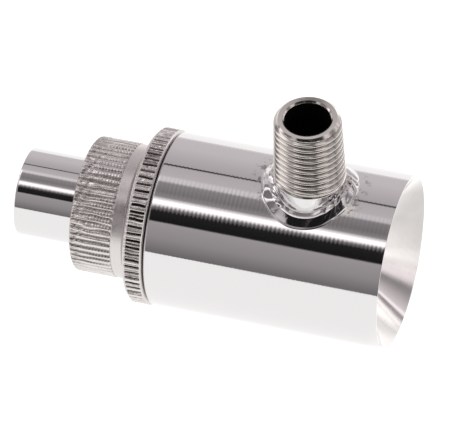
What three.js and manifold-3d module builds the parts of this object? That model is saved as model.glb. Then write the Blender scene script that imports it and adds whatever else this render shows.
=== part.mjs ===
// An adjustable ring-jet air amplifier in polished stainless steel, in millimetres, +Z up.
//
// Compressed air enters the threaded nipple, fills a ring chamber in the barrel and leaves it through a
// thin ring-shaped gap behind the funnel mouth. The jet clings to the rounded nose of the adjusting
// sleeve and drags surrounding air in through the mouth and out of the tube. Turning the sleeve on its
// thread opens or closes the gap, and the knurled lock ring jams against the barrel to hold it.
//
// The origin is the centre of the nipple's open end. +Z runs out of the nipple and +X towards the mouth.
// The turned pieces are drawn along the flow axis, with x = 0 at the mouth's rim and negative behind it.

import * as THREE from "three";
import { mergeVertices } from "three/addons/utils/BufferGeometryUtils.js";
import Module from "manifold-3d";

const wasm = await Module();
wasm.setup();

// Where the two axes lie.
const inletToMouth = 16.95;
const inletToFlowAxis = 33.5;

// How finely round shapes are drawn.
const barrelSides = 64;
const tubeSides = 48;
const nippleSides = 32;
const sealCordSides = 10;
const arcSteps = 5;

// How far a cutting shape runs past the end of what it cuts.
const cutOverrun = 1;

// Clearances: a running fit on the threads, and the space kept between pieces that touch.
const runningGap = 0.1;
const touchGap = 0.3;

// Barrel.
const barrelRadius = 16.5;
const barrelLength = 45;
const barrelEdge = 0.3;
const rimLand = 0.15;
const coneHalfAngle = THREE.MathUtils.degToRad(51);
const throatRadius = 6.4;

// Ring chamber and jet gap.
const lipX = -12.9;
const lipRadius = 10.9;
const lipRise = 1.7;
const chamberRadius = 14.2;
const chamberLength = 13.3;
const jetGap = 0.55;

// Thread shared by the barrel, the lock ring and the adjusting sleeve, drawn as a plain running fit.
const threadRadius = 12.2;
const threadBore = threadRadius + runningGap;

// Lock ring.
const ringRadius = 16.7;
const ringLength = 3.85;
const ringFrontEdge = 0.3;
const ringBackEdge = 0.6;
const ringTeeth = 80;
const ringGrooveDepth = 0.4;

// Adjusting sleeve.
const noseRadius = 11.2;
const noseCurve = 3;
const flowBore = 7.1;
const sealLandX = -26.2;
const sealLandTaper = 1;
const bandFrontX = -50.1;
const bandRadius = 12.75;
const bandEdge = 0.3;
const knurlFrontX = -52.9;
const knurlRadius = 12.87;
const knurlTeeth = 65;
const knurlGrooveDepth = 0.35;
const sleeveBackX = -60.75;
const sleeveBackEdge = 0.7;
const grooveCrestShare = 0.55;

// O-ring and its groove.
const sealX = -29.05;
const sealCord = 1.5;
const grooveWidth = 2.1;
const grooveRadius = 10.6;

// Outlet tube, fixed in a socket in the sleeve's back end.
const tubeRadius = 8.3;
const tubeEndX = -73.1;
const tubeEdge = 0.2;
const socketBottomX = -50.5;
const socketGap = 0.15;

// Inlet nipple: an R 1/4 taper thread, 1 in 16 on the diameter.
const nippleBore = 4.25;
const nippleBoreEdge = 0.35;
const nippleFaceRadius = 5.45;
const threadPitch = 1.337;
const threadDepth = 0.8;
const threadTurns = 10;
const threadTipRadius = 6.25;
const threadStartZ = -0.8;
const threadTaper = 1 / 32;
const shankRadius = 6.65;
const nippleFootZ = -18.8;

// Weld bead round the nipple's foot.
const beadRadius = 9;
const beadTop = 18.2;
const beadShoulderRadius = 8.2;
const beadShoulder = 17.3;
const beadTopLand = 0.3;
const beadToe = 16.3;

const stainlessPolished = { color: 0xd9d7d8, roughness: 0.06, metalness: 1 };
const stainlessSatin = { color: 0xb9b2af, roughness: 0.38, metalness: 1 };
const blackRubber = { color: 0x1b1b1c, roughness: 0.7, metalness: 0 };

/** Points [along, radius] on an arc about a centre, from one angle to another, in degrees. */
function arc(centreAlong, centreRadius, radius, fromDegrees, toDegrees, steps) {
  const points = [];
  for (let i = 0; i <= steps; i += 1) {
    const angle = THREE.MathUtils.degToRad(fromDegrees + ((toDegrees - fromDegrees) * i) / steps);
    points.push([centreAlong + radius * Math.cos(angle), centreRadius + radius * Math.sin(angle)]);
  }
  return points;
}

/**
 * A closed ring turned about +Y from the [along, radius] corners of its section. They are listed
 * clockwise as drawn with the axis to the right: back along the inside, then forward along the outside.
 */
function turned(corners, sides) {
  const closed = [...corners, corners[0]];
  return new THREE.LatheGeometry(
    closed.map(([along, radius]) => new THREE.Vector2(radius, along)),
    sides,
  );
}

/** The same, laid along +X. */
function turnedAlongX(corners, sides) {
  return turned(corners, sides).rotateZ(-Math.PI / 2);
}

/** The same, standing along +Z. */
function turnedAlongZ(corners, sides) {
  return turned(corners, sides).rotateX(Math.PI / 2);
}

/** Turns a closed geometry into a manifold-3d solid. */
function toSolid(geometry) {
  const bare = geometry.clone();
  bare.deleteAttribute("normal");
  bare.deleteAttribute("uv");
  const merged = mergeVertices(bare);
  const vertProperties = new Float32Array(merged.attributes.position.array);
  const triVerts = new Uint32Array(merged.index.array);
  return new wasm.Manifold(new wasm.Mesh({ numProp: 3, vertProperties, triVerts }));
}

/** Turns a manifold-3d solid back into a geometry. */
function toGeometry(solid) {
  const mesh = solid.getMesh();
  const geometry = new THREE.BufferGeometry();
  geometry.setAttribute("position", new THREE.BufferAttribute(mesh.vertProperties, 3));
  geometry.setIndex(new THREE.BufferAttribute(mesh.triVerts, 1));
  geometry.computeVertexNormals();
  return geometry;
}

/** A bar along +X from x = from to x = to, with straight V grooves round it and no hole. */
function groovedBar(radius, teeth, depth, from, to) {
  const outline = [];
  for (let tooth = 0; tooth < teeth; tooth += 1) {
    const corners = [
      [tooth, radius],
      [tooth + grooveCrestShare, radius],
      [tooth + (1 + grooveCrestShare) / 2, radius - depth],
    ];
    for (const [turn, reach] of corners) {
      const angle = (2 * Math.PI * turn) / teeth;
      outline.push(new THREE.Vector2(reach * Math.cos(angle), reach * Math.sin(angle)));
    }
  }
  const section = new THREE.Shape(outline);
  const bar = new THREE.ExtrudeGeometry(section, { depth: to - from, bevelEnabled: false });
  return bar.rotateY(Math.PI / 2).translate(from, 0, 0);
}

function barrelGeometry() {
  const coneRadius = barrelRadius - rimLand;
  const coneDepth = (coneRadius - throatRadius) / Math.tan(coneHalfAngle);
  const chamberFrontX = lipX + lipRise;
  const chamberBackX = chamberFrontX - chamberLength;
  const shell = toSolid(
    turnedAlongX(
      [
        [0, barrelRadius],
        [0, coneRadius],
        [-coneDepth, throatRadius],
        [lipX, throatRadius],
        [lipX, lipRadius],
        [chamberFrontX, lipRadius + lipRise / 2],
        [chamberFrontX, chamberRadius],
        [chamberBackX, chamberRadius],
        [chamberBackX - (chamberRadius - threadBore) / 2, threadBore],
        [-barrelLength + barrelEdge, threadBore],
        [-barrelLength, threadBore + barrelEdge],
        [-barrelLength, barrelRadius - barrelEdge],
        [-barrelLength + barrelEdge, barrelRadius],
      ],
      barrelSides,
    ),
  );
  const inletHole = new THREE.CylinderGeometry(
    shankRadius + touchGap,
    shankRadius + touchGap,
    barrelRadius,
    nippleSides,
  );
  inletHole.rotateX(Math.PI / 2).translate(-inletToMouth, 0, threadBore + barrelRadius / 2);
  return toGeometry(shell.subtract(toSolid(inletHole)));
}

function lockRingGeometry() {
  const front = -barrelLength - touchGap;
  const back = front - ringLength;
  const blank = turnedAlongX(
    [
      [front, ringRadius - ringFrontEdge],
      [front, threadBore],
      [back, threadBore],
      [back, ringRadius - ringBackEdge],
      [back + ringBackEdge, ringRadius + runningGap],
      [front - ringFrontEdge, ringRadius + runningGap],
    ],
    ringTeeth,
  );
  const grooves = groovedBar(
    ringRadius,
    ringTeeth,
    ringGrooveDepth,
    back - cutOverrun,
    front + cutOverrun,
  );
  return toGeometry(toSolid(blank).intersect(toSolid(grooves)));
}

function adjustingSleeveGeometry() {
  const noseX = lipX - jetGap;
  const socketRadius = tubeRadius + socketGap;
  const blank = turnedAlongX(
    [
      ...arc(noseX - noseCurve, flowBore + noseCurve, noseCurve, -90, 0, arcSteps).reverse(),
      [socketBottomX, flowBore],
      [socketBottomX, socketRadius],
      [sleeveBackX, socketRadius],
      [sleeveBackX, bandRadius - sleeveBackEdge],
      [sleeveBackX + sleeveBackEdge, knurlRadius + runningGap],
      [knurlFrontX - runningGap, knurlRadius + runningGap],
      [knurlFrontX, bandRadius],
      [bandFrontX - bandEdge, bandRadius],
      [bandFrontX, bandRadius - bandEdge],
      [bandFrontX, threadRadius],
      [sealX - grooveWidth / 2, threadRadius],
      [sealX - grooveWidth / 2, grooveRadius],
      [sealX + grooveWidth / 2, grooveRadius],
      [sealX + grooveWidth / 2, threadRadius],
      [sealLandX, threadRadius],
      [sealLandX + sealLandTaper, noseRadius],
      [noseX - bandEdge, noseRadius],
      [noseX, noseRadius - bandEdge],
    ],
    knurlTeeth,
  );
  const grooves = groovedBar(
    knurlRadius,
    knurlTeeth,
    knurlGrooveDepth,
    sleeveBackX - cutOverrun,
    knurlFrontX,
  );
  const plainFront = new THREE.CylinderGeometry(barrelRadius, barrelRadius, -knurlFrontX, knurlTeeth);
  plainFront.rotateZ(-Math.PI / 2).translate(knurlFrontX / 2, 0, 0);
  return toGeometry(toSolid(blank).intersect(toSolid(grooves).add(toSolid(plainFront))));
}

function outletTubeGeometry() {
  return turnedAlongX(
    [
      [socketBottomX - touchGap, tubeRadius],
      [socketBottomX - touchGap, flowBore],
      [tubeEndX + tubeEdge, flowBore],
      [tubeEndX, flowBore + tubeEdge],
      [tubeEndX, tubeRadius - tubeEdge],
      [tubeEndX + tubeEdge, tubeRadius],
    ],
    tubeSides,
  );
}

function sealGeometry() {
  const cordCentre = grooveRadius + (threadBore - grooveRadius) / 2;
  const ring = new THREE.TorusGeometry(cordCentre, sealCord / 2, sealCordSides, tubeSides);
  return ring.rotateY(Math.PI / 2).translate(sealX, 0, 0);
}

function inletNippleGeometry() {
  const thread = [];
  for (let turn = 0; turn < threadTurns; turn += 1) {
    const crestZ = threadStartZ - (turn + 0.5) * threadPitch;
    const crestRadius = threadTipRadius - crestZ * threadTaper;
    thread.push([crestZ + threadPitch / 2, crestRadius - threadDepth]);
    thread.push([crestZ, crestRadius]);
  }
  const shankTopZ = threadStartZ - threadTurns * threadPitch;
  return turnedAlongZ(
    [
      [0, nippleFaceRadius],
      [0, nippleBore + nippleBoreEdge],
      [-nippleBoreEdge, nippleBore],
      [nippleFootZ, nippleBore],
      [nippleFootZ, shankRadius],
      [shankTopZ - threadDepth, shankRadius],
      [shankTopZ, shankRadius - threadDepth],
      ...thread.reverse(),
    ],
    nippleSides,
  );
}

function weldBeadGeometry() {
  const inner = shankRadius + touchGap;
  const collar = turnedAlongZ(
    [
      [beadTop, inner + beadTopLand],
      [beadTop, inner],
      [barrelRadius / 2, inner],
      [barrelRadius / 2, beadRadius],
      [beadToe, beadRadius],
      [beadShoulder, beadShoulderRadius],
    ],
    nippleSides,
  );
  collar.translate(-inletToMouth, 0, 0);
  const clearance = barrelRadius + touchGap;
  const surface = new THREE.CylinderGeometry(clearance, clearance, barrelLength, barrelSides);
  surface.rotateZ(-Math.PI / 2).translate(-barrelLength / 2, 0, 0);
  return toGeometry(toSolid(collar).subtract(toSolid(surface)));
}

function piece(name, geometry, finish) {
  const mesh = new THREE.Mesh(geometry, new THREE.MeshStandardMaterial(finish));
  mesh.name = name;
  return mesh;
}

const flowLine = new THREE.Group();
flowLine.position.set(inletToMouth, 0, -inletToFlowAxis);
flowLine.add(
  piece("barrel", barrelGeometry(), stainlessPolished),
  piece("weld_bead", weldBeadGeometry(), stainlessPolished),
  piece("lock_ring", lockRingGeometry(), stainlessSatin),
  piece("adjusting_sleeve", adjustingSleeveGeometry(), stainlessSatin),
  piece("outlet_tube", outletTubeGeometry(), stainlessPolished),
  piece("plug_o_ring", sealGeometry(), blackRubber),
);

const airAmplifier = new THREE.Group();
airAmplifier.add(flowLine, piece("inlet_nipple", inletNippleGeometry(), stainlessPolished));

export default airAmplifier;
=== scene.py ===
"""Looks of the adjustable air amplifier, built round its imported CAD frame.

Lengths are in metres in the CAD frame: +Z runs out of the inlet nipple and +X towards the funnel mouth.
Every steel piece is a fine mesh that stands for its faceted CAD node.
"""

import math

import bpy
import numpy as np
from mathutils import Matrix, Vector


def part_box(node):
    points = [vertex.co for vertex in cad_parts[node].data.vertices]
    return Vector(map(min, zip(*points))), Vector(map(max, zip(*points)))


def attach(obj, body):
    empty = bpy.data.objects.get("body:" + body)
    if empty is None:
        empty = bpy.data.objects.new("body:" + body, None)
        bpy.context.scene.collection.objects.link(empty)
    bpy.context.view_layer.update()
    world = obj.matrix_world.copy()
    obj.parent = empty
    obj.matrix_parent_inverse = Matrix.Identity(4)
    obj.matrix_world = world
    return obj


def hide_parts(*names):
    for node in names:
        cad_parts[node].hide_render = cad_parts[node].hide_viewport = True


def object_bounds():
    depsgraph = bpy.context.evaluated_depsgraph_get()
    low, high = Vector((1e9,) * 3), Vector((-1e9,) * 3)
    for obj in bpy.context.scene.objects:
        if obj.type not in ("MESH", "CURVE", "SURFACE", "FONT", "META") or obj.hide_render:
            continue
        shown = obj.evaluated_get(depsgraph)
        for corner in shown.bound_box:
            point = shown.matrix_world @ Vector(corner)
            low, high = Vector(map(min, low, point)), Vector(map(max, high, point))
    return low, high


MM = 0.001

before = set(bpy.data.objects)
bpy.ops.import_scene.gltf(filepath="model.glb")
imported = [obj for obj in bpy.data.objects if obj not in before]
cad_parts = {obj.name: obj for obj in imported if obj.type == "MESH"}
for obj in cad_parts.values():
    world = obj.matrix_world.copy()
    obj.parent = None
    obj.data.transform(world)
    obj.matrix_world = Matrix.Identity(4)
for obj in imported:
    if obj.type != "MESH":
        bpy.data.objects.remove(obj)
cad_low, cad_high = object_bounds()

# ---------------------------------------------------------------- places taken from the frame

barrel_low, barrel_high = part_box("barrel")
ring_low, ring_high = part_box("lock_ring")
sleeve_low, sleeve_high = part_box("adjusting_sleeve")
tube_low, tube_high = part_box("outlet_tube")
seal_low, seal_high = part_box("plug_o_ring")
nipple_low, nipple_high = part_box("inlet_nipple")
bead_low, bead_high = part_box("weld_bead")

AXIS_Z = (barrel_low.z + barrel_high.z) / 2
MOUTH_X = barrel_high.x
BARREL_BACK_X = barrel_low.x
BARREL_R = (barrel_high.y - barrel_low.y) / 2
RING_R = (ring_high.y - ring_low.y) / 2
KNURL_R = (sleeve_high.y - sleeve_low.y) / 2
TUBE_R = (tube_high.y - tube_low.y) / 2
BEAD_R = (bead_high.y - bead_low.y) / 2
NIPPLE_BASE_R = (nipple_high.x - nipple_low.x) / 2

# ---------------------------------------------------------------- sizes that the boxes don't give

CONE_HALF_ANGLE = math.radians(51)
RIM_LAND = 0.2 * MM
THROAT_R = 6.4 * MM
LIP_X = MOUTH_X - 12.9 * MM
LIP_R = 10.9 * MM
LIP_RISE = 1.7 * MM
CHAMBER_R = 14.2 * MM
CHAMBER_LENGTH = 13.3 * MM
THREAD_BORE = 12.3 * MM
SCREW_R = 12.2 * MM
SCREW_PITCH = 1.0 * MM
SCREW_DEPTH = 0.5 * MM
FLOW_BORE = 7.1 * MM
NOSE_CURVE = 3.0 * MM
NOSE_R = 11.2 * MM
SEAL_LAND_X = MOUTH_X - 26.2 * MM
SEAL_GROOVE_R = 10.6 * MM
SEAL_GROOVE_WIDTH = 2.1 * MM
THREAD_FRONT_X = MOUTH_X - 31.5 * MM
BAND_FRONT_X = MOUTH_X - 50.1 * MM
BAND_R = 12.75 * MM
KNURL_FRONT_X = MOUTH_X - 52.9 * MM
SOCKET_BOTTOM_X = MOUTH_X - 50.5 * MM
RING_TEETH = 76
RING_FRONT_EDGE = 0.3 * MM
RING_BACK_EDGE = 0.6 * MM
RING_LAND = 0.12 * MM
SLEEVE_TEETH = 61
NIPPLE_BORE = 4.25 * MM
NIPPLE_BORE_EDGE = 0.35 * MM
NIPPLE_FACE_R = 5.45 * MM
PIPE_PITCH = 1.337 * MM
PIPE_DEPTH = 0.70 * MM
PIPE_TURNS = 10.2
PIPE_START_Z = -0.8 * MM
PIPE_TIP_R = 6.25 * MM
PIPE_TAPER = 1 / 32
PIPE_ENTRY_TURN = 0.244


# ---------------------------------------------------------------- mesh building

def softened(corners, steps=4):
    """Rounds the corners of a closed section and adds a support point on each side of every corner.

    A corner is (x, radius, rounding, finish); finish is the material index of the side that follows it.
    The result is a list of (x, radius, finish).
    """
    points = []
    count = len(corners)
    for i, (x, r, rounding, finish) in enumerate(corners):
        here = Vector((x, r))
        before = Vector(corners[i - 1][:2])
        after = Vector(corners[(i + 1) % count][:2])
        finish_before = corners[i - 1][3]
        if rounding <= 0:
            points.append((x, r, finish))
            continue
        back = (before - here).normalized()
        ahead = (after - here).normalized()
        room_back = (before - here).length
        room_ahead = (after - here).length
        start = here + back * rounding
        end = here + ahead * rounding
        if room_back > 5 * rounding:
            points.append((*(here + back * rounding * 2), finish_before))
        for step in range(steps + 1):
            t = step / steps
            spot = start.lerp(here, t).lerp(here.lerp(end, t), t)
            points.append((*spot, finish if step == steps else finish_before))
        if room_ahead > 5 * rounding:
            points.append((*(here + ahead * rounding * 2), finish))
    return points


def arc(centre_x, centre_r, radius, start, stop, steps):
    """Points (x, radius) on an arc, from one angle to another in degrees."""
    angles = [math.radians(start + (stop - start) * i / steps) for i in range(steps + 1)]
    return [(centre_x + radius * math.cos(a), centre_r + radius * math.sin(a)) for a in angles]


def grid_mesh(name, co, finish, materials, sharp_angle=32):
    """A closed mesh from a grid of places that wraps both ways: co is stations x sides x 3."""
    stations, sides = co.shape[:2]
    i, k = np.meshgrid(np.arange(stations), np.arange(sides), indexing="ij")
    j, m = (i + 1) % stations, (k + 1) % sides
    quads = np.stack([i * sides + k, j * sides + k, j * sides + m, i * sides + m], -1)
    mesh = bpy.data.meshes.new(name)
    mesh.from_pydata(co.reshape(-1, 3).tolist(), [], quads.reshape(-1, 4).tolist())
    mesh.polygons.foreach_set("material_index", np.repeat(finish, sides).astype(np.int32))
    for material in materials:
        mesh.materials.append(material)
    mesh.polygons.foreach_set("use_smooth", np.ones(stations * sides, bool))
    mesh.set_sharp_from_angle(angle=math.radians(sharp_angle))
    mesh.update()
    obj = bpy.data.objects.new(name, mesh)
    bpy.context.scene.collection.objects.link(obj)
    return obj


def flow_piece(name, section, sides, materials, shape=None, sharp_angle=32):
    """A ring round the flow axis; shape(x, radius, turn) may change the radius at each place."""
    x = np.array([p[0] for p in section])[:, None]
    r = np.array([p[1] for p in section])[:, None]
    turn = (np.arange(sides) / sides)[None, :]
    radius = shape(x, r, turn) if shape else r + 0 * turn
    around = 2 * math.pi * turn
    co = np.stack(
        [x + 0 * turn, -radius * np.sin(around), AXIS_Z + radius * np.cos(around)], -1
    )
    return grid_mesh(name, co, [p[2] for p in section], materials, sharp_angle)


def upright_piece(name, section, sides, materials, shape=None, sharp_angle=32):
    """A ring round the nipple's axis, from (z, radius, finish) points."""
    z = np.array([p[0] for p in section])[:, None]
    r = np.array([p[1] for p in section])[:, None]
    turn = (np.arange(sides) / sides)[None, :]
    radius = shape(z, r, turn) if shape else r + 0 * turn
    around = 2 * math.pi * turn
    co = np.stack([radius * np.cos(around), radius * np.sin(around), z + 0 * turn], -1)
    return grid_mesh(name, co, [p[2] for p in section], materials, sharp_angle)


def stations_between(start, stop, spacing):
    """Evenly spaced places from start to stop, both included, no further apart than spacing."""
    count = max(1, math.ceil(abs(stop - start) / spacing - 1e-6))
    return [start + (stop - start) * i / count for i in range(count + 1)]


def value_noise(values, count, seed):
    """Smooth random numbers between -1 and 1, repeating every count units of values."""
    table = np.random.default_rng(seed).uniform(-1, 1, count)
    low = np.floor(values).astype(int)
    t = values - low
    t = t * t * (3 - 2 * t)
    return table[low % count] * (1 - t) + table[(low + 1) % count] * t


# ---------------------------------------------------------------- node helpers

class Nodes:
    """Short names for building a node tree."""

    def __init__(self, tree):
        self.tree = tree
        tree.nodes.clear()

    def add(self, kind, **settings):
        node = self.tree.nodes.new(kind)
        for key, value in settings.items():
            setattr(node, key, value)
        return node

    def link(self, source, target):
        self.tree.links.new(source, target)

    def feed(self, socket, value):
        if isinstance(value, bpy.types.NodeSocket):
            self.link(value, socket)
        else:
            socket.default_value = value

    def math(self, operation, *values, clamp=False):
        node = self.add("ShaderNodeMath", operation=operation, use_clamp=clamp)
        for socket, value in zip(node.inputs, values):
            self.feed(socket, value)
        return node.outputs[0]

    def ramp(self, value, stops):
        """Linear steps from (position, level) pairs."""
        node = self.add("ShaderNodeValToRGB")
        elements = node.color_ramp.elements
        elements[0].position = stops[0][0]
        elements[1].position = stops[-1][0]
        for place, _ in stops[1:-1]:
            elements.new(place)
        for element, (_, level) in zip(elements, stops):
            element.color = (level, level, level, 1)
        self.feed(node.inputs[0], value)
        return node.outputs[0]

    def span(self, value, low, high, to_low=0.0, to_high=1.0, smooth=False):
        """Maps low..high to to_low..to_high and holds the ends."""
        node = self.add("ShaderNodeMapRange", interpolation_type="SMOOTHSTEP" if smooth else "LINEAR")
        for socket, entry in zip(node.inputs, (value, low, high, to_low, to_high)):
            self.feed(socket, entry)
        return node.outputs[0]

    def noise(self, vector, scale, detail=2.0, roughness=0.5):
        node = self.add("ShaderNodeTexNoise")
        self.feed(node.inputs["Vector"], vector)
        node.inputs["Scale"].default_value = scale
        node.inputs["Detail"].default_value = detail
        node.inputs["Roughness"].default_value = roughness
        return node.outputs["Fac"]

    def wide(self, value):
        """A vector from one number, for a texture that varies with that number only."""
        node = self.add("ShaderNodeCombineXYZ")
        self.link(value, node.inputs[0])
        return node.outputs[0]

    def stretch(self, vector, scale):
        node = self.add("ShaderNodeVectorMath", operation="MULTIPLY")
        self.feed(node.inputs[0], vector)
        node.inputs[1].default_value = scale
        return node.outputs[0]

    def mix(self, factor, first, second):
        node = self.add("ShaderNodeMix", data_type="RGBA")
        self.feed(node.inputs[0], factor)
        self.feed(node.inputs[6], (*first, 1) if isinstance(first, tuple) else first)
        self.feed(node.inputs[7], (*second, 1) if isinstance(second, tuple) else second)
        return node.outputs[2]

    def scaled(self, colour, factor):
        """A colour multiplied by a value or by another colour."""
        node = self.add("ShaderNodeMix", data_type="RGBA", blend_type="MULTIPLY")
        node.inputs[0].default_value = 1.0
        self.feed(node.inputs[6], colour)
        self.feed(node.inputs[7], factor)
        return node.outputs[2]

    def bump(self, height, distance, normal=None):
        node = self.add("ShaderNodeBump")
        node.inputs["Distance"].default_value = distance
        node.inputs["Strength"].default_value = 1.0
        self.feed(node.inputs["Height"], height)
        if normal is not None:
            self.link(normal, node.inputs["Normal"])
        return node.outputs[0]


def distance_from(nodes, first, second):
    """How far a point lies from an axis, from its two offsets across that axis."""
    first_squared = nodes.math("MULTIPLY", first, first)
    second_squared = nodes.math("MULTIPLY", second, second)
    return nodes.math("SQRT", nodes.math("ADD", first_squared, second_squared))


def new_material(name):
    """An empty material, its Nodes, its Principled shader and the place on the object."""
    material = bpy.data.materials.new(name)
    material.use_nodes = True
    nodes = Nodes(material.node_tree)
    shader = nodes.add("ShaderNodeBsdfPrincipled")
    output = nodes.add("ShaderNodeOutputMaterial")
    nodes.link(shader.outputs[0], output.inputs[0])
    place = nodes.add("ShaderNodeTexCoord").outputs["Object"]
    return material, nodes, shader, place


def axes_of(nodes, place):
    """The x, y and z of a place."""
    split = nodes.add("ShaderNodeSeparateXYZ")
    nodes.link(place, split.inputs[0])
    return split.outputs


# ---------------------------------------------------------------- materials

def polished_steel(name, ripple_height):
    """Mirror-polished turned steel: faint ripples a turn apart, hairlines, and scuffs by the weld."""
    material, nodes, shader, place = new_material(name)
    x, y, z = axes_of(nodes, place)
    fine = nodes.noise(nodes.stretch(place, (1, 0.15, 0.15)), 9000, 1)
    drift = nodes.noise(nodes.stretch(place, (1, 0.4, 0.4)), 160, 2)
    phase = nodes.math("MULTIPLY_ADD", x, 2 * math.pi / (0.8 * MM), nodes.math("MULTIPLY", drift, 5.0))
    ripple = nodes.math("SINE", phase)
    ripple = nodes.math("MULTIPLY", ripple, nodes.span(drift, 0.3, 0.7, 0.25, 1.0))
    from_nipple = distance_from(nodes, x, y)
    near_weld = nodes.span(from_nipple, BEAD_R + 0.3 * MM, BEAD_R + 3 * MM, 0.8, 0.0, smooth=True)
    beside = nodes.span(nodes.math("ABSOLUTE", y), 4 * MM, 7 * MM, 1.0, 0.0, smooth=True)
    near_weld = nodes.math("MULTIPLY", near_weld, beside)
    above = nodes.math("GREATER_THAN", z, AXIS_Z)
    blotch = nodes.span(nodes.noise(place, 800, 4, 0.7), 0.53, 0.60)
    scuffed = nodes.math("MULTIPLY", nodes.math("MULTIPLY", near_weld, above), blotch)
    colour = nodes.mix(scuffed, (0.72, 0.705, 0.712), (0.26, 0.24, 0.235))
    nodes.link(colour, shader.inputs["Base Color"])
    shader.inputs["Metallic"].default_value = 1.0
    smudge = nodes.span(nodes.noise(place, 120, 3, 0.6), 0.35, 0.75, 0.035, 0.085)
    rough = nodes.math("MULTIPLY_ADD", scuffed, 0.3, smudge)
    nodes.link(rough, shader.inputs["Roughness"])
    normal = nodes.bump(ripple, ripple_height)
    normal = nodes.bump(fine, 0.0006 * MM, normal)
    nodes.link(nodes.bump(nodes.noise(place, 1500, 2), 0.0008 * MM, normal), shader.inputs["Normal"])
    return material


def radius_about_flow_axis(nodes, place):
    """How far a place lies from the flow axis."""
    _, y, z = axes_of(nodes, place)
    return distance_from(nodes, y, nodes.math("SUBTRACT", z, AXIS_Z))


def turned_cone_steel():
    """Satin steel, faced on a lathe: fine rings about the flow axis."""
    material, nodes, shader, place = new_material("turned_cone_steel")
    radius = radius_about_flow_axis(nodes, place)
    rings = nodes.math("SINE", nodes.math("MULTIPLY", radius, 2 * math.pi / (0.21 * MM)))
    broad_rings = nodes.noise(nodes.wide(radius), 2600, 2)
    uneven = nodes.noise(place, 500, 3)
    colour = nodes.mix(uneven, (0.69, 0.66, 0.65), (0.77, 0.738, 0.725))
    nodes.link(colour, shader.inputs["Base Color"])
    shader.inputs["Metallic"].default_value = 1.0
    nodes.link(nodes.span(uneven, 0.3, 0.7, 0.05, 0.09), shader.inputs["Roughness"])
    normal = nodes.bump(rings, 0.0014 * MM)
    nodes.link(nodes.bump(broad_rings, 0.005 * MM, normal), shader.inputs["Normal"])
    return material


def knurled_steel(name, crest, depth, groove_shade_and_dirt_colour):
    """Warm satin steel with a rolled, slightly torn surface; the grooves are painted darker, as painted shade
    with some oil and dust.
    """
    material, nodes, shader, place = new_material(name)
    grain = nodes.noise(place, 3500, 3, 0.65)
    broad = nodes.noise(place, 420, 3, 0.6)
    crests = nodes.mix(broad, (0.60, 0.565, 0.545), (0.78, 0.75, 0.735))
    radius = radius_about_flow_axis(nodes, place)
    # Painted shade with some dirt: the base colour darkens to the groove colour as the radius drops into the
    # grooves.
    height = nodes.span(radius, crest - depth, crest - 0.25 * depth, smooth=True)
    nodes.link(nodes.mix(height, groove_shade_and_dirt_colour, crests), shader.inputs["Base Color"])
    shader.inputs["Metallic"].default_value = 1.0
    nodes.link(nodes.span(grain, 0.3, 0.7, 0.16, 0.38), shader.inputs["Roughness"])
    normal = nodes.bump(grain, 0.008 * MM)
    nodes.link(nodes.bump(broad, 0.02 * MM, normal), shader.inputs["Normal"])
    return material


def plain_satin_steel():
    """The sleeve's plain band: satin, lightly mottled, with turning lines."""
    material, nodes, shader, place = new_material("plain_satin_steel")
    mottle = nodes.noise(place, 900, 4, 0.7)
    lines = nodes.noise(nodes.stretch(place, (1, 0.05, 0.05)), 9000, 1)
    colour = nodes.mix(mottle, (0.60, 0.565, 0.555), (0.74, 0.71, 0.70))
    nodes.link(colour, shader.inputs["Base Color"])
    shader.inputs["Metallic"].default_value = 1.0
    nodes.link(nodes.span(mottle, 0.3, 0.7, 0.26, 0.40), shader.inputs["Roughness"])
    normal = nodes.bump(lines, 0.0015 * MM)
    nodes.link(nodes.bump(mottle, 0.012 * MM, normal), shader.inputs["Normal"])
    return material


def thread_steel():
    """Cut thread with fine tool lines; its roots are painted darker, as painted shade in the hollows."""
    material, nodes, shader, place = new_material("thread_steel")
    grain = nodes.noise(nodes.stretch(place, (0.3, 0.3, 1)), 6000, 2)
    broad = nodes.noise(place, 500, 3)
    x, y, z = axes_of(nodes, place)
    radius = distance_from(nodes, x, y)
    depth = nodes.math("SUBTRACT", nodes.math("MULTIPLY_ADD", z, -PIPE_TAPER, PIPE_TIP_R), radius)
    # Painted shade: the base colour darkens deep in the thread's roots, except near the tip.
    painted_root_shade = nodes.math(
        "MULTIPLY",
        nodes.span(depth, 0.12 * MM, 0.6 * MM),
        nodes.span(z, -1.1 * MM, -0.7 * MM, 1.0, 0.0),
    )
    crests = nodes.mix(broad, (0.66, 0.63, 0.59), (0.76, 0.735, 0.70))
    nodes.link(nodes.mix(painted_root_shade, crests, (0.30, 0.28, 0.235)), shader.inputs["Base Color"])
    shader.inputs["Metallic"].default_value = 1.0
    nodes.link(nodes.span(broad, 0.3, 0.7, 0.10, 0.17), shader.inputs["Roughness"])
    nodes.link(nodes.bump(grain, 0.002 * MM), shader.inputs["Normal"])
    return material


def bore_shade_steel():
    """The inside of the drilled bores, its steel painted nearly black as painted shade."""
    material, nodes, shader, place = new_material("bore_shade_steel")
    grain = nodes.noise(nodes.stretch(place, (1, 1, 2)), 2500, 3)
    # Painted shade: a near-black base colour stands in for the shade inside the bores.
    colour = nodes.mix(grain, (0.05, 0.046, 0.042), (0.11, 0.10, 0.092))
    nodes.link(colour, shader.inputs["Base Color"])
    shader.inputs["Metallic"].default_value = 1.0
    shader.inputs["Roughness"].default_value = 0.42
    nodes.link(nodes.bump(grain, 0.006 * MM), shader.inputs["Normal"])
    return material


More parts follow.
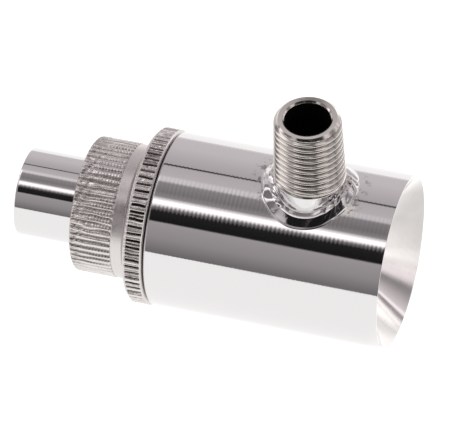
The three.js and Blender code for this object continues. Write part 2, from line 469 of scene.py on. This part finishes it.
def weld_steel():
    """Buffed weld metal."""
    material, nodes, shader, place = new_material("weld_steel")
    broad = nodes.noise(place, 380, 3, 0.6)
    fine = nodes.noise(place, 2600, 3, 0.6)
    colour = nodes.mix(broad, (0.64, 0.62, 0.615), (0.74, 0.725, 0.72))
    nodes.link(colour, shader.inputs["Base Color"])
    shader.inputs["Metallic"].default_value = 1.0
    nodes.link(nodes.span(fine, 0.4, 0.75, 0.03, 0.10), shader.inputs["Roughness"])
    normal = nodes.bump(broad, 0.014 * MM)
    nodes.link(nodes.bump(fine, 0.002 * MM, normal), shader.inputs["Normal"])
    return material


def seal_rubber():
    """Smooth black nitrile rubber."""
    material, nodes, shader, place = new_material("seal_rubber")
    grain = nodes.noise(place, 3000, 3)
    nodes.link(nodes.mix(grain, (0.012, 0.012, 0.013), (0.03, 0.03, 0.032)), shader.inputs["Base Color"])
    shader.inputs["Roughness"].default_value = 0.5
    nodes.link(nodes.bump(grain, 0.01 * MM), shader.inputs["Normal"])
    return material


POLISHED = polished_steel("polished_steel", 0.0034 * MM)
TUBE_POLISHED = polished_steel("tube_polished_steel", 0.0008 * MM)
CONE = turned_cone_steel()
# Each knurl's last colour is painted into its grooves: painted shade with some dirt, darkest on the lock
# ring.
RING_KNURL = knurled_steel("ring_knurl_steel", RING_R, 0.36 * MM, (0.10, 0.083, 0.072))
SLEEVE_KNURL = knurled_steel("sleeve_knurl_steel", KNURL_R, 0.34 * MM, (0.36, 0.33, 0.315))
SATIN = plain_satin_steel()
THREAD = thread_steel()
BORE_SHADE = bore_shade_steel()
WELD = weld_steel()
RUBBER = seal_rubber()


# ---------------------------------------------------------------- pieces

def cut_hole(obj, radius, low_z, high_z):
    """Cuts a round hole along the nipple's axis through obj."""
    bpy.ops.mesh.primitive_cylinder_add(
        vertices=96, radius=radius, depth=high_z - low_z, location=(0, 0, (low_z + high_z) / 2)
    )
    cutter = bpy.context.object
    modifier = obj.modifiers.new("inlet hole", "BOOLEAN")
    modifier.operation = "DIFFERENCE"
    modifier.solver = "EXACT"
    modifier.object = cutter
    graph = bpy.context.evaluated_depsgraph_get()
    cut = bpy.data.meshes.new_from_object(obj.evaluated_get(graph))
    obj.modifiers.clear()
    obj.data = cut
    bpy.data.objects.remove(cutter)
    cut.set_sharp_from_angle(angle=math.radians(32))


def make_barrel():
    """The turned housing: funnel mouth, throat lip, ring chamber and threaded back bore."""
    cone_r = BARREL_R - RIM_LAND
    cone_depth = (cone_r - THROAT_R) / math.tan(CONE_HALF_ANGLE)
    chamber_front = LIP_X + LIP_RISE
    chamber_back = chamber_front - CHAMBER_LENGTH
    section = softened([
        (MOUTH_X, BARREL_R, 0.05 * MM, 0),
        (MOUTH_X, cone_r, 0.04 * MM, 1),
        (MOUTH_X - cone_depth, THROAT_R, 0.8 * MM, 2),
        (LIP_X, THROAT_R, 0.1 * MM, 2),
        (LIP_X, LIP_R, 0.1 * MM, 2),
        (chamber_front, LIP_R + LIP_RISE / 2, 0.3 * MM, 2),
        (chamber_front, CHAMBER_R, 0.3 * MM, 2),
        (chamber_back, CHAMBER_R, 0.3 * MM, 2),
        (chamber_back - (CHAMBER_R - THREAD_BORE) / 2, THREAD_BORE, 0.2 * MM, 2),
        (BARREL_BACK_X + 0.3 * MM, THREAD_BORE, 0.1 * MM, 2),
        (BARREL_BACK_X, THREAD_BORE + 0.3 * MM, 0.1 * MM, 0),
        (BARREL_BACK_X, BARREL_R - 0.3 * MM, 0.06 * MM, 0),
        (BARREL_BACK_X + 0.3 * MM, BARREL_R, 0.06 * MM, 0),
    ])
    barrel = flow_piece("barrel_shell", section, 384, [POLISHED, CONE, BORE_SHADE])
    hole_r = NIPPLE_BASE_R + 0.3 * MM
    cut_hole(barrel, hole_r, AXIS_Z + THREAD_BORE, AXIS_Z + BARREL_R + 2 * MM)
    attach(barrel, "barrel_body")
    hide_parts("barrel")


def groove(u, width, depth):
    """A narrow groove centred on every whole u, with rounded crests between."""
    return depth * np.abs(np.cos(math.pi * u)) ** (1 / width)


def ring_shape(x, r, turn):
    """Straight knurl: a deep groove at every tooth and a weak one between, both a little uneven."""
    u = turn * RING_TEETH
    tooth = np.floor(u + 0.5)
    sway = 0.05 * value_noise(x / (1.4 * MM) + tooth * 3.7, 512, 3)
    deep = 0.42 * MM * (1 + 0.25 * value_noise(tooth * 1.0, RING_TEETH, 4))
    weak = 0.26 * MM * (0.6 + 0.7 * value_noise(np.floor(u) * 1.0, RING_TEETH, 5))
    pits = 0.03 * MM * value_noise(x / (0.5 * MM) + u * 2.3, 997, 6)
    runout = np.clip((ring_high.x - RING_FRONT_EDGE - x) / RING_LAND, 0, 1)
    cut = runout * np.maximum(groove(u + sway, 0.15, deep), groove(u + 0.5 + sway, 0.12, np.maximum(weak, 0)))
    crest = RING_R - cut - np.maximum(pits, 0)
    return np.where(r > RING_R - RING_BACK_EDGE - 0.01 * MM, np.minimum(r, crest), r + 0 * turn)


def make_lock_ring():
    """The knurled ring that jams against the barrel."""
    front, back = ring_high.x, ring_low.x
    outside = [
        (x, RING_R, 0) for x in stations_between(back + RING_BACK_EDGE, front - RING_FRONT_EDGE, 0.12 * MM)
    ]
    outside[-1] = (*outside[-1][:2], 1)
    section = softened([
        (front, RING_R - RING_FRONT_EDGE, 0, 1),
        (front, THREAD_BORE + 0.4 * MM, 0.05 * MM, 1),
        (front - 0.4 * MM, THREAD_BORE, 0.05 * MM, 1),
        (back + 0.4 * MM, THREAD_BORE, 0.05 * MM, 1),
        (back, THREAD_BORE + 0.4 * MM, 0.05 * MM, 1),
        (back, RING_R - RING_BACK_EDGE, 0.15 * MM, 1),
    ]) + outside
    ring = flow_piece("lock_ring_knurled", section, RING_TEETH * 14, [RING_KNURL, SATIN], ring_shape, 60)
    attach(ring, "lock_ring")
    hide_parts("lock_ring")


def sleeve_shape(x, r, turn):
    """Straight knurl, run over twice near the sleeve's back end, with chatter marks further on."""
    u = turn * SLEEVE_TEETH
    tooth = np.floor(u + 0.5)
    back_x = sleeve_low.x
    along = (x - back_x) / (KNURL_FRONT_X - back_x)
    sway = 0.07 * value_noise(x / (2.2 * MM) + tooth * 5.1, 509, 13)
    deep = 0.27 * MM * (1 + 0.45 * value_noise(tooth * 1.0 + x / (4 * MM), 401, 14))
    twice = np.clip(1.6 - along * 3.2, 0.12, 1)
    second = 0.20 * MM * twice * (0.8 + 0.5 * value_noise(tooth * 1.7 + x / (1.1 * MM), 613, 15))
    chatter = 0.05 * MM * np.sin(2 * math.pi * x / (0.6 * MM)) * np.clip(along * 2.2 - 0.5, 0, 1)
    chatter = chatter * (0.6 + 0.6 * value_noise(u * 0.4, 26, 16))
    torn = 0.09 * MM * value_noise(x / (0.4 * MM) + u * 1.9, 701, 17) * (0.2 + twice)
    cut = np.maximum(groove(u + sway, 0.28, deep), groove(u + 0.42 + sway * 2, 0.2, np.maximum(second, 0)))
    crest = KNURL_R - cut - np.maximum(torn, 0) - np.maximum(chatter, 0)
    knurled = (x < KNURL_FRONT_X + 0.01 * MM) & (r > BAND_R * 0.85)
    return np.where(knurled, np.minimum(r, crest), r + 0 * turn)


def make_sleeve_grip():
    """The knurled grip and plain band of the adjusting sleeve."""
    back_x = sleeve_low.x
    edge = 0.7 * MM
    knurl = [(x, KNURL_R, 0) for x in stations_between(back_x + edge, KNURL_FRONT_X, 0.1 * MM)]
    bevel = [
        (back_x + edge * (1 - math.cos(a)), BAND_R - edge + (KNURL_R - BAND_R + edge) * math.sin(a), 0)
        for a in (math.radians(d) for d in range(15, 90, 15))
    ]
    section = softened([
        (BAND_FRONT_X, SCREW_R - SCREW_DEPTH, 0, 1),
        (SOCKET_BOTTOM_X, SCREW_R - SCREW_DEPTH, 0, 1),
        (SOCKET_BOTTOM_X, TUBE_R + 0.05 * MM, 0, 1),
        (back_x + 0.3 * MM, TUBE_R + 0.05 * MM, 0.05 * MM, 1),
        (back_x, TUBE_R + 0.35 * MM, 0.05 * MM, 1),
        (back_x, BAND_R - edge, 0, 0),
    ]) + bevel + knurl + softened([
        (KNURL_FRONT_X + 0.25 * MM, BAND_R - 0.12 * MM, 0.02 * MM, 1),
        (KNURL_FRONT_X + 0.42 * MM, BAND_R, 0.03 * MM, 1),
        (BAND_FRONT_X - 0.35 * MM, BAND_R, 0.06 * MM, 1),
        (BAND_FRONT_X, BAND_R - 0.35 * MM, 0.06 * MM, 1),
    ])
    grip = flow_piece("sleeve_grip", section, SLEEVE_TEETH * 14, [SLEEVE_KNURL, SATIN], sleeve_shape, 60)
    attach(grip, "plug")
    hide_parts("adjusting_sleeve")


def screw_shape(x, r, turn):
    """A right-hand thread on the outside of the screw."""
    threaded = (r > SCREW_R * 0.98) & (x < THREAD_FRONT_X)
    tooth = 0.5 + 0.5 * np.cos(2 * math.pi * (x / SCREW_PITCH - turn))
    runout = np.clip((THREAD_FRONT_X - x) / SCREW_PITCH, 0, 1)
    cut = SCREW_DEPTH * np.clip(1.25 * tooth - 0.12, 0, 1) * runout
    return np.where(threaded, SCREW_R - cut, r + 0 * turn)


def make_sleeve_screw():
    """The screwed plug inside the barrel: rounded jet nose, seal land with its groove, and thread."""
    nose_x = sleeve_high.x
    seal_x = (seal_low.x + seal_high.x) / 2
    rear = BAND_FRONT_X - 0.2 * MM
    nose_arc = arc(nose_x - NOSE_CURVE, FLOW_BORE + NOSE_CURVE, NOSE_CURVE, -90, 0, 16)
    nose = [(x, r, 1) for x, r in reversed(nose_arc)]
    thread = [(x, SCREW_R, 0) for x in stations_between(rear, THREAD_FRONT_X, SCREW_PITCH / 12)]
    section = nose + [(rear, FLOW_BORE, 0)] + thread + softened([
        (seal_x - SEAL_GROOVE_WIDTH / 2, SCREW_R, 0.1 * MM, 0),
        (seal_x - SEAL_GROOVE_WIDTH / 2, SEAL_GROOVE_R, 0.1 * MM, 0),
        (seal_x + SEAL_GROOVE_WIDTH / 2, SEAL_GROOVE_R, 0.1 * MM, 0),
        (seal_x + SEAL_GROOVE_WIDTH / 2, SCREW_R, 0.1 * MM, 0),
        (SEAL_LAND_X, SCREW_R, 0.15 * MM, 0),
        (SEAL_LAND_X + 1 * MM, NOSE_R, 0.3 * MM, 0),
        (nose_x - 0.3 * MM, NOSE_R, 0.1 * MM, 0),
        (nose_x, NOSE_R - 0.3 * MM, 0.1 * MM, 0),
    ])
    screw = flow_piece("sleeve_screw", section, 180, [SATIN, POLISHED], screw_shape, 40)
    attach(screw, "plug")
    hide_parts("adjusting_sleeve")


def make_outlet_tube():
    """The polished tube fixed in the sleeve's back end."""
    end = tube_low.x
    section = softened([
        (tube_high.x, TUBE_R, 0.1 * MM, 0),
        (tube_high.x, FLOW_BORE, 0.1 * MM, 1),
        (end, FLOW_BORE, 0.3 * MM, 0),
        (end, TUBE_R, 0.25 * MM, 0),
    ], steps=6)
    tube = flow_piece("outlet_tube_polished", section, 256, [TUBE_POLISHED, BORE_SHADE])
    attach(tube, "plug")
    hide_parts("outlet_tube")


def make_seal():
    """The O-ring in the sleeve's groove."""
    centre_x = (seal_low.x + seal_high.x) / 2
    cord = (seal_high.x - seal_low.x) / 2
    centre_r = (seal_high.y - seal_low.y) / 2 - cord
    section = [(x, r, 0) for x, r in arc(centre_x, centre_r, cord, 0, -345, 23)]
    seal = flow_piece("plug_seal_ring", section, 160, [RUBBER], sharp_angle=80)
    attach(seal, "seal")
    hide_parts("plug_o_ring")


def pipe_thread_shape(z, r, turn):
    """A right-hand taper thread with well rounded roots and crests."""
    foot = PIPE_START_Z - PIPE_TURNS * PIPE_PITCH
    outside = r > NIPPLE_FACE_R * 0.9
    inside_run = np.clip((z - foot) / (0.7 * PIPE_PITCH), 0, 1)
    crest = PIPE_TIP_R - z * PIPE_TAPER
    tooth = 0.5 - 0.5 * np.cos(2 * math.pi * (z / PIPE_PITCH + turn - PIPE_ENTRY_TURN))
    cut = PIPE_DEPTH * (1 - tooth) * inside_run
    chamfer = NIPPLE_FACE_R - z * 1.05
    return np.where(outside, np.minimum(np.minimum(r, crest - cut), chamfer), r + 0 * turn)


def make_nipple():
    """The threaded inlet, with its bore and the plain shank that the weld bead holds."""
    foot = nipple_low.z
    thread_foot = PIPE_START_Z - PIPE_TURNS * PIPE_PITCH
    outside = [(z, NIPPLE_BASE_R, 0) for z in stations_between(thread_foot, 0, PIPE_PITCH / 28)]
    shank = [(z, NIPPLE_BASE_R, 2) for z in stations_between(foot, thread_foot - 0.1 * MM, 0.5 * MM)]
    inside = softened([
        (0, NIPPLE_BORE + NIPPLE_BORE_EDGE, 0.05 * MM, 0),
        (-NIPPLE_BORE_EDGE, NIPPLE_BORE, 0.05 * MM, 1),
        (foot, NIPPLE_BORE, 0.1 * MM, 1),
    ])
    nipple = upright_piece("inlet_nipple_threaded", inside + shank + outside, 180, [THREAD, BORE_SHADE, POLISHED],
                           pipe_thread_shape, 50)
    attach(nipple, "barrel_body")
    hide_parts("inlet_nipple")


def make_weld_bead():
    """A buffed fillet round the nipple's foot: smooth and low in front and behind, rippled at its sides."""
    sides = 480
    around = 2 * math.pi * np.arange(sides) / sides
    share = around / (2 * math.pi)
    sideways = np.cos(around) ** 2
    inner = NIPPLE_BASE_R - 0.03 * MM
    toe = BEAD_R + 0.12 * MM + 0.22 * MM * (1 - sideways) + 0.12 * MM * value_noise(share * 17, 17, 31)
    top = (0.66 + 0.83 * sideways) * (1 + 0.10 * value_noise(share * 9, 9, 32)) * MM

    def barrel_height(radius):
        return AXIS_Z + np.sqrt(BARREL_R ** 2 - (radius * np.sin(around)) ** 2)

    def row(share_out, share_up):
        radius = inner + (toe - inner) * share_out
        swell = min(1, 5 * share_out, 4 * (1 - share_out))
        phase = share * 17 + 0.5 * value_noise(share * 13, 13, 34) + 0.9 * share_out
        wave = np.abs(np.sin(math.pi * phase)) - 0.6
        ripple = 0.44 * MM * wave * np.abs(np.cos(around)) * sideways * swell
        lump = 0.12 * MM * value_noise(share * 23 + 3 * share_out, 23, 33) * sideways * swell
        return radius, barrel_height(radius) + top * share_up + ripple + lump

    outs = [0.0, 0.04, 0.10, 0.30, 0.42, 0.47, 0.51, 0.90, 0.94, 1.0]
    ups = [1.0, 0.94, 0.92, 0.90, 0.86, 0.80, 0.74, 0.20, 0.05, 0.0]
    rows = [row(out, np.interp(out, outs, ups)) for out in np.linspace(0, 1, 41)]
    under = 0.3 * MM
    rows.append((toe, barrel_height(toe) - under))
    rows.append((inner + 0 * around, barrel_height(inner) - under))
    co = np.stack([np.stack([r * np.cos(around), r * np.sin(around), z], -1) for r, z in rows])
    bead = grid_mesh("weld_fillet", co, [0] * len(rows), [WELD], 60)
    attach(bead, "barrel_body")
    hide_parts("weld_bead")


# ---------------------------------------------------------------- studio

# The floor's glow: even at FLOOR_GLOW away from the mouth; the other levels are painted light and painted
# shade on the floor from the mouth onwards.
FLOOR_GLOW = 1.16
FLOOR_GLOW_BY_MOUTH = 1.03
FLOOR_GLOW_UNDER_MOUTH = 1.32
FLOOR_GLOW_BEHIND_MOUTH = 1.45
FLOOR_GLOW_PAST_MOUTH = 0.90
FLOOR_GLOW_FAR = 1.13
# Where the floor's painted shade beside the mouth begins and ends, along the flow axis and across it.
MOUTH_SHADE_FROM_X = (0.012, 0.018)
PAST_MOUTH_FROM = (0.029, 0.034)
PAST_MOUTH_SLANT = 0.356
FAR_FROM_X = (0.083, 0.086)
UNDER_TO_BY_MOUTH_Y = (0.002, 0.008)
BY_TO_BEHIND_MOUTH_Y = (0.018, 0.026)
SHADE_FRONT_Y = (-0.035, -0.008)
SHADE_BACK_Y = (0.016, 0.030)
FLOOR_TO_CAMERA_SIDE = 0.70
FLOOR_TO_BACK = 0.80
FLOOR_SIDEWAYS = 2.0
FLOOR_GAP = 0.5 * MM


def make_floor():
    """A plain white floor that glows like the lit base of a light tent; from the mouth onwards its glow is
    painted unevenly, with painted brighter patches and a painted soft shadow.
    """
    z = cad_low.z - FLOOR_GAP
    corners = [
        (-FLOOR_SIDEWAYS, -FLOOR_TO_CAMERA_SIDE, z),
        (FLOOR_SIDEWAYS, -FLOOR_TO_CAMERA_SIDE, z),
        (FLOOR_SIDEWAYS, FLOOR_TO_BACK, z),
        (-FLOOR_SIDEWAYS, FLOOR_TO_BACK, z),
    ]
    mesh = bpy.data.meshes.new("floor")
    mesh.from_pydata(corners, [], [(0, 1, 2, 3)])
    material = bpy.data.materials.new("floor_white")
    material.use_nodes = True
    nodes = Nodes(material.node_tree)
    glow = nodes.add("ShaderNodeEmission")
    glow.inputs["Color"].default_value = (1.0, 0.995, 0.985, 1)
    place = nodes.add("ShaderNodeTexCoord").outputs["Object"]
    x, y, _ = axes_of(nodes, place)
    aside = nodes.math("MULTIPLY_ADD", y, PAST_MOUTH_SLANT, x)
    painted_shadow_beside_mouth = nodes.math(
        "MULTIPLY",
        nodes.span(y, *SHADE_FRONT_Y, smooth=True),
        nodes.span(y, *SHADE_BACK_Y, 1.0, 0.0, smooth=True),
    )
    under = FLOOR_GLOW_UNDER_MOUTH - FLOOR_GLOW
    by = FLOOR_GLOW_BY_MOUTH - FLOOR_GLOW
    behind = FLOOR_GLOW_BEHIND_MOUTH - FLOOR_GLOW
    # Painted light and shade: the floor glows brighter under and behind the mouth and darker beside it.
    painted_light_and_shade_by_mouth = nodes.math(
        "MAXIMUM",
        nodes.span(y, *UNDER_TO_BY_MOUTH_Y, under, by),
        nodes.span(y, *BY_TO_BEHIND_MOUTH_Y, by, behind),
    )
    # Painted shadow: a soft darker patch on the floor past the mouth.
    shade = nodes.math(
        "ADD",
        nodes.span(aside, *PAST_MOUTH_FROM, 0.0, FLOOR_GLOW_PAST_MOUTH - FLOOR_GLOW_BY_MOUTH),
        nodes.span(x, *FAR_FROM_X, 0.0, FLOOR_GLOW_FAR - FLOOR_GLOW_PAST_MOUTH),
    )
    lit = nodes.math("MULTIPLY_ADD", nodes.span(x, *MOUTH_SHADE_FROM_X), painted_light_and_shade_by_mouth, FLOOR_GLOW)
    lit = nodes.math("MULTIPLY_ADD", shade, painted_shadow_beside_mouth, lit)
    nodes.link(lit, glow.inputs["Strength"])
    output = nodes.add("ShaderNodeOutputMaterial")
    nodes.link(glow.outputs[0], output.inputs[0])
    mesh.materials.append(material)
    floor = bpy.data.objects.new("floor", mesh)
    bpy.context.scene.collection.objects.link(floor)


# The tent as seen from the object, by angle about the flow axis: 0 is straight up the nipple and positive
# is towards the camera. Each entry is (angle in degrees, brightness).
TENT_BACK = [(-94.0, 1.16), (-92.5, 0.95), (-87.0, 0.71), (-65.0, 0.70), (-31.7, 0.52), (-31.1, 0.015)]
TENT_TOP = [(-29.3, 0.015), (-28.7, 0.57), (-13.5, 0.62), (-10.0, 0.78), (-5.5, 0.76), (-2.5, 0.31)]
FLOOR_EDGE = [(94.0, 0.13), (95.2, 0.13), (95.8, 1.05), (100.0, 1.16)]
TENT_FRONT = [(50.2, 0.43), (70.0, 0.36), (91.5, 0.19)] + FLOOR_EDGE
LAMP = [
    (10.0, 0.23), (17.0, 0.33), (21.5, 1.3), (22.5, 1.7), (25.5, 1.7), (30.5, 0.25), (35.5, 0.02),
    (49.4, 0.012),
]
SIDE_LAMP = [
    (-14.0, 0.7), (-11.0, 1.9), (-1.0, 1.9), (3.0, 0.9), (14.0, 0.7), (30.0, 0.35), (38.0, 0.5), (49.4, 0.75),
]
GLINT = [(-2.5, 0.95), (13.0, 0.95), (17.0, 0.33), (20.0, 0.6), (26.0, 0.6), (31.0, 0.2), (49.4, 0.02)]
FAR_LAMP = [(-4.0, 1.7), (13.0, 1.7), (19.0, 0.06), (30.0, 0.03), (49.4, 0.02)]
BETWEEN_LAMPS = [
    (10.0, 0.22), (18.0, 0.22), (21.0, 1.0), (27.0, 1.0), (31.5, 0.12), (35.0, 0.015), (54.0, 0.012),
    (57.0, 0.12),
]
FRONT_BETWEEN_LAMPS = [(62.0, 0.22), (80.0, 0.24)] + FLOOR_EDGE
MOUTH_SIDE = [
    (-94.0, 1.16), (-87.0, 0.8), (-50.0, 0.75), (-40.0, 0.25), (-15.0, 0.25), (-8.0, 1.2), (8.0, 1.2),
    (14.0, 0.2), (40.0, 0.12), (58.0, 0.2), (66.0, 0.9), (100.0, 1.16),
]
OUTLET_SIDE = [
    (-94.0, 1.16), (-87.0, 0.8), (-45.0, 0.75), (-35.0, 0.3), (-8.0, 0.25), (0.0, 1.0), (22.0, 1.1),
    (32.0, 0.2), (55.0, 0.25), (70.0, 0.8), (94.0, 1.0), (100.0, 1.16),
]
TENT_HALF_SPAN = 120.0
TENT_BRIGHTEST = 2.0
TENT_TINT = (1.0, 0.94, 0.965, 1)
# Where the lamps stand along the flow axis, by the x of their direction, and how soft their ends are.
BETWEEN_LAMPS_X = (-0.10, 0.33, 0.05)
FAR_LAMP_X = (0.33, 0.90, 0.05)
SIDE_LAMP_X = (-0.36, -0.31)
GLINT_X = (-0.15, -0.12, 0.015)
TENT_ENDS_X = (-0.55, 0.80, 0.06)
# The bands are drawn true at this x; the lamp's edge slants and the top streak fades away from it.
TRUE_X = -0.233
LAMP_EDGE_BEGINS = (25, 31)
LAMP_EDGE_ENDS = (41, 46)
LAMP_SLANT = 32.0
STREAK_BEGINS = (-14, -11)
STREAK_ENDS = (14, 17)
STREAK_FADE = -2.2
STREAK_LIMIT = 0.4

# The tent's end wall beyond the mouth, by bearing from +X towards +Y.
END_WALL = [
    (-50.0, 1.05), (9.5, 1.12), (13.5, 0.34), (17.0, 0.34), (25.0, 0.62), (32.0, 0.85), (33.5, 1.3),
    (35.3, 1.3), (36.8, 0.36), (40.0, 0.50), (44.0, 1.4), (50.0, 1.5),
]
WALL_HALF_SPAN = 60.0
WALL_FROM_X = (0.66, 0.72)
WALL_TOP_Z = (0.3, 0.4)


def make_tent():
    """The light tent: soft bands that run along the flow axis, lamps overhead and striped ends."""
    world = bpy.data.worlds.new("light tent")
    bpy.context.scene.world = world
    world.use_nodes = True
    nodes = Nodes(world.node_tree)
    direction = nodes.add("ShaderNodeTexCoord").outputs["Generated"]
    x, y, z = axes_of(nodes, direction)

    def window(low, high, soft):
        rise = nodes.span(x, low - soft, low + soft, smooth=True)
        fall = nodes.span(x, high - soft, high + soft, 1.0, 0.0, smooth=True)
        return nodes.math("MULTIPLY", rise, fall)

    def band_levels(angle, levels, half_span):
        place = nodes.span(angle, -half_span, half_span)
        stops = [((a + half_span) / (2 * half_span), level / TENT_BRIGHTEST) for a, level in levels]
        return nodes.ramp(place, stops)

    towards_camera = nodes.math("MULTIPLY", y, -1)
    flat_angle = nodes.math("MULTIPLY", nodes.math("ARCTAN2", towards_camera, z), 180 / math.pi)
    lamp_edge = nodes.math(
        "MULTIPLY",
        nodes.span(flat_angle, *LAMP_EDGE_BEGINS, smooth=True),
        nodes.span(flat_angle, *LAMP_EDGE_ENDS, 1.0, 0.0, smooth=True),
    )
    off_true = nodes.math("SUBTRACT", x, TRUE_X)
    slant = nodes.math("MULTIPLY", off_true, LAMP_SLANT)
    angle = nodes.math("MULTIPLY_ADD", slant, lamp_edge, flat_angle)
    under_lamp = band_levels(angle, TENT_BACK + TENT_TOP + LAMP + TENT_FRONT, TENT_HALF_SPAN)
    far_lamp = band_levels(flat_angle, TENT_BACK + TENT_TOP[:-1] + FAR_LAMP + TENT_FRONT, TENT_HALF_SPAN)
    between = band_levels(
        flat_angle, TENT_BACK + TENT_TOP + BETWEEN_LAMPS + FRONT_BETWEEN_LAMPS, TENT_HALF_SPAN
    )
    side = nodes.mix(
        nodes.math("GREATER_THAN", x, 0.0),
        band_levels(flat_angle, OUTLET_SIDE, TENT_HALF_SPAN),
        band_levels(flat_angle, MOUTH_SIDE, TENT_HALF_SPAN),
    )
    level = nodes.mix(window(*BETWEEN_LAMPS_X), under_lamp, between)
    level = nodes.mix(window(*FAR_LAMP_X), level, far_lamp)
    side_lamp = band_levels(flat_angle, TENT_BACK + TENT_TOP[:2] + SIDE_LAMP + TENT_FRONT, TENT_HALF_SPAN)
    level = nodes.mix(nodes.span(x, *SIDE_LAMP_X, 1.0, 0.0, smooth=True), level, side_lamp)
    glint = band_levels(flat_angle, TENT_BACK + TENT_TOP[:-1] + GLINT + TENT_FRONT, TENT_HALF_SPAN)
    level = nodes.mix(window(*GLINT_X), level, glint)
    level = nodes.mix(nodes.math("SUBTRACT", 1.0, window(*TENT_ENDS_X)), level, side)
    bearing = nodes.math("MULTIPLY", nodes.math("ARCTAN2", y, x), 180 / math.pi)
    wall = band_levels(bearing, END_WALL, WALL_HALF_SPAN)
    low_enough = nodes.span(z, *WALL_TOP_Z, 1.0, 0.0, smooth=True)
    at_wall = nodes.math("MULTIPLY", nodes.span(x, *WALL_FROM_X, smooth=True), low_enough)
    level = nodes.mix(at_wall, level, wall)
    streak = nodes.math(
        "MULTIPLY",
        nodes.span(flat_angle, *STREAK_BEGINS),
        nodes.span(flat_angle, *STREAK_ENDS, 1.0, 0.0),
    )
    fade = nodes.math("MULTIPLY", nodes.math("MULTIPLY", off_true, STREAK_FADE), streak)
    fade = nodes.span(fade, -STREAK_LIMIT, STREAK_LIMIT, -STREAK_LIMIT, STREAK_LIMIT)
    level = nodes.scaled(level, nodes.math("ADD", 1.0, fade))
    tint = nodes.scaled(level, TENT_TINT)
    background = nodes.add("ShaderNodeBackground")
    background.inputs["Strength"].default_value = TENT_BRIGHTEST
    nodes.link(tint, background.inputs["Color"])
    output = nodes.add("ShaderNodeOutputWorld")
    nodes.link(background.outputs[0], output.inputs[0])


CAMERA_AZIMUTH = math.radians(19.6)
CAMERA_ELEVATION = math.radians(45.9)
CAMERA_ROLL = math.radians(-3.5)
CAMERA_DISTANCE = 0.9347
CAMERA_LENS = 400.9
SENSOR_WIDTH = 36.0
AIM_X = -17.25 * MM
AIM_RISE = 1.98 * MM


def make_camera():
    """A long lens from the front, above and a little towards the mouth."""
    camera = bpy.data.cameras.new("camera")
    camera.sensor_width = SENSOR_WIDTH
    camera.lens = CAMERA_LENS
    obj = bpy.data.objects.new("camera", camera)
    bpy.context.scene.collection.objects.link(obj)
    back = Vector((
        math.sin(CAMERA_AZIMUTH) * math.cos(CAMERA_ELEVATION),
        -math.cos(CAMERA_AZIMUTH) * math.cos(CAMERA_ELEVATION),
        math.sin(CAMERA_ELEVATION),
    ))
    level_right = Vector((math.cos(CAMERA_AZIMUTH), math.sin(CAMERA_AZIMUTH), 0))
    right = Matrix.Rotation(CAMERA_ROLL, 3, back) @ level_right
    up = back.cross(right)
    aim = Vector((AIM_X, 0, AXIS_Z)) + up * AIM_RISE
    turn = Matrix((right, up, back)).transposed().to_4x4()
    obj.matrix_world = Matrix.Translation(aim + back * CAMERA_DISTANCE) @ turn
    bpy.context.scene.camera = obj
    bpy.context.scene.view_settings.view_transform = "Standard"


make_camera()
make_tent()
make_floor()
make_barrel()
make_nipple()
make_weld_bead()
make_lock_ring()
make_sleeve_grip()
make_sleeve_screw()
make_outlet_tube()
make_seal()
